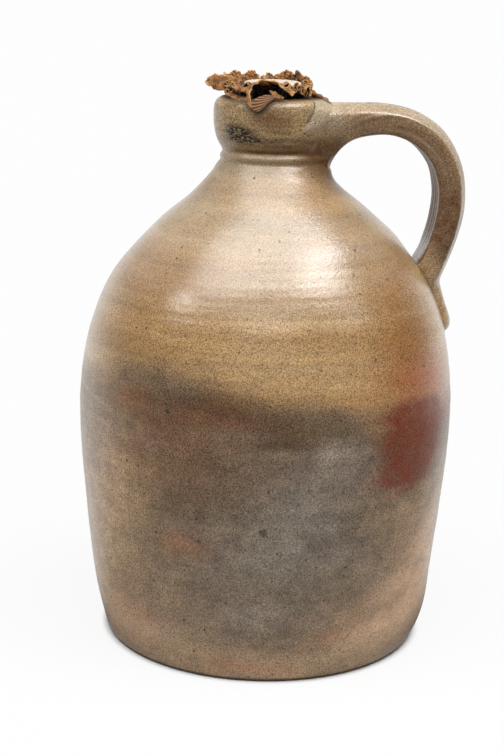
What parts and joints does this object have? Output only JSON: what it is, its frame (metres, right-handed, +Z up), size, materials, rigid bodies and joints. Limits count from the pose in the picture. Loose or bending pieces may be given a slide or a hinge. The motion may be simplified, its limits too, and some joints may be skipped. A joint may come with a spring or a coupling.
{
  "type": "stoneware jug with stopper",
  "caption": "Salt-glazed stoneware jug with a strap handle, collar lip and narrow mouth, closed by a tapered plug wrapped in a ruffled square of cloth.",
  "frame": {"origin": "centre of the flat foot, on the body's axis of turning", "axes": "+Z up along the axis of turning, +X towards the handle"},
  "size_m": [0.194, 0.1902, 0.287],
  "materials": {
    "stoneware": "salt glaze, golden tan above, grey-brown with a red kiln flash below",
    "plug_wood": "whittled, bare",
    "brown_cloth": "ribbed brown cloth, frayed at the edges"
  },
  "bodies": {
    "jug": {"jug_body": "stoneware", "strap_handle": "stoneware"},
    "cloth": {"stopper_cloth": "brown_cloth"},
    "plug": {"stopper_plug": "plug_wood"}
  },
  "joints": [
    {"name": "stopper_lift", "type": "slide", "parent": "jug", "child": "cloth", "axis": [0, 0, 1], "range_m": [0, 0.08]},
    {"name": "plug_lift", "type": "slide", "parent": "cloth", "child": "plug", "axis": [0, 0, 1], "range_m": [0, 0.06]}
  ]
}
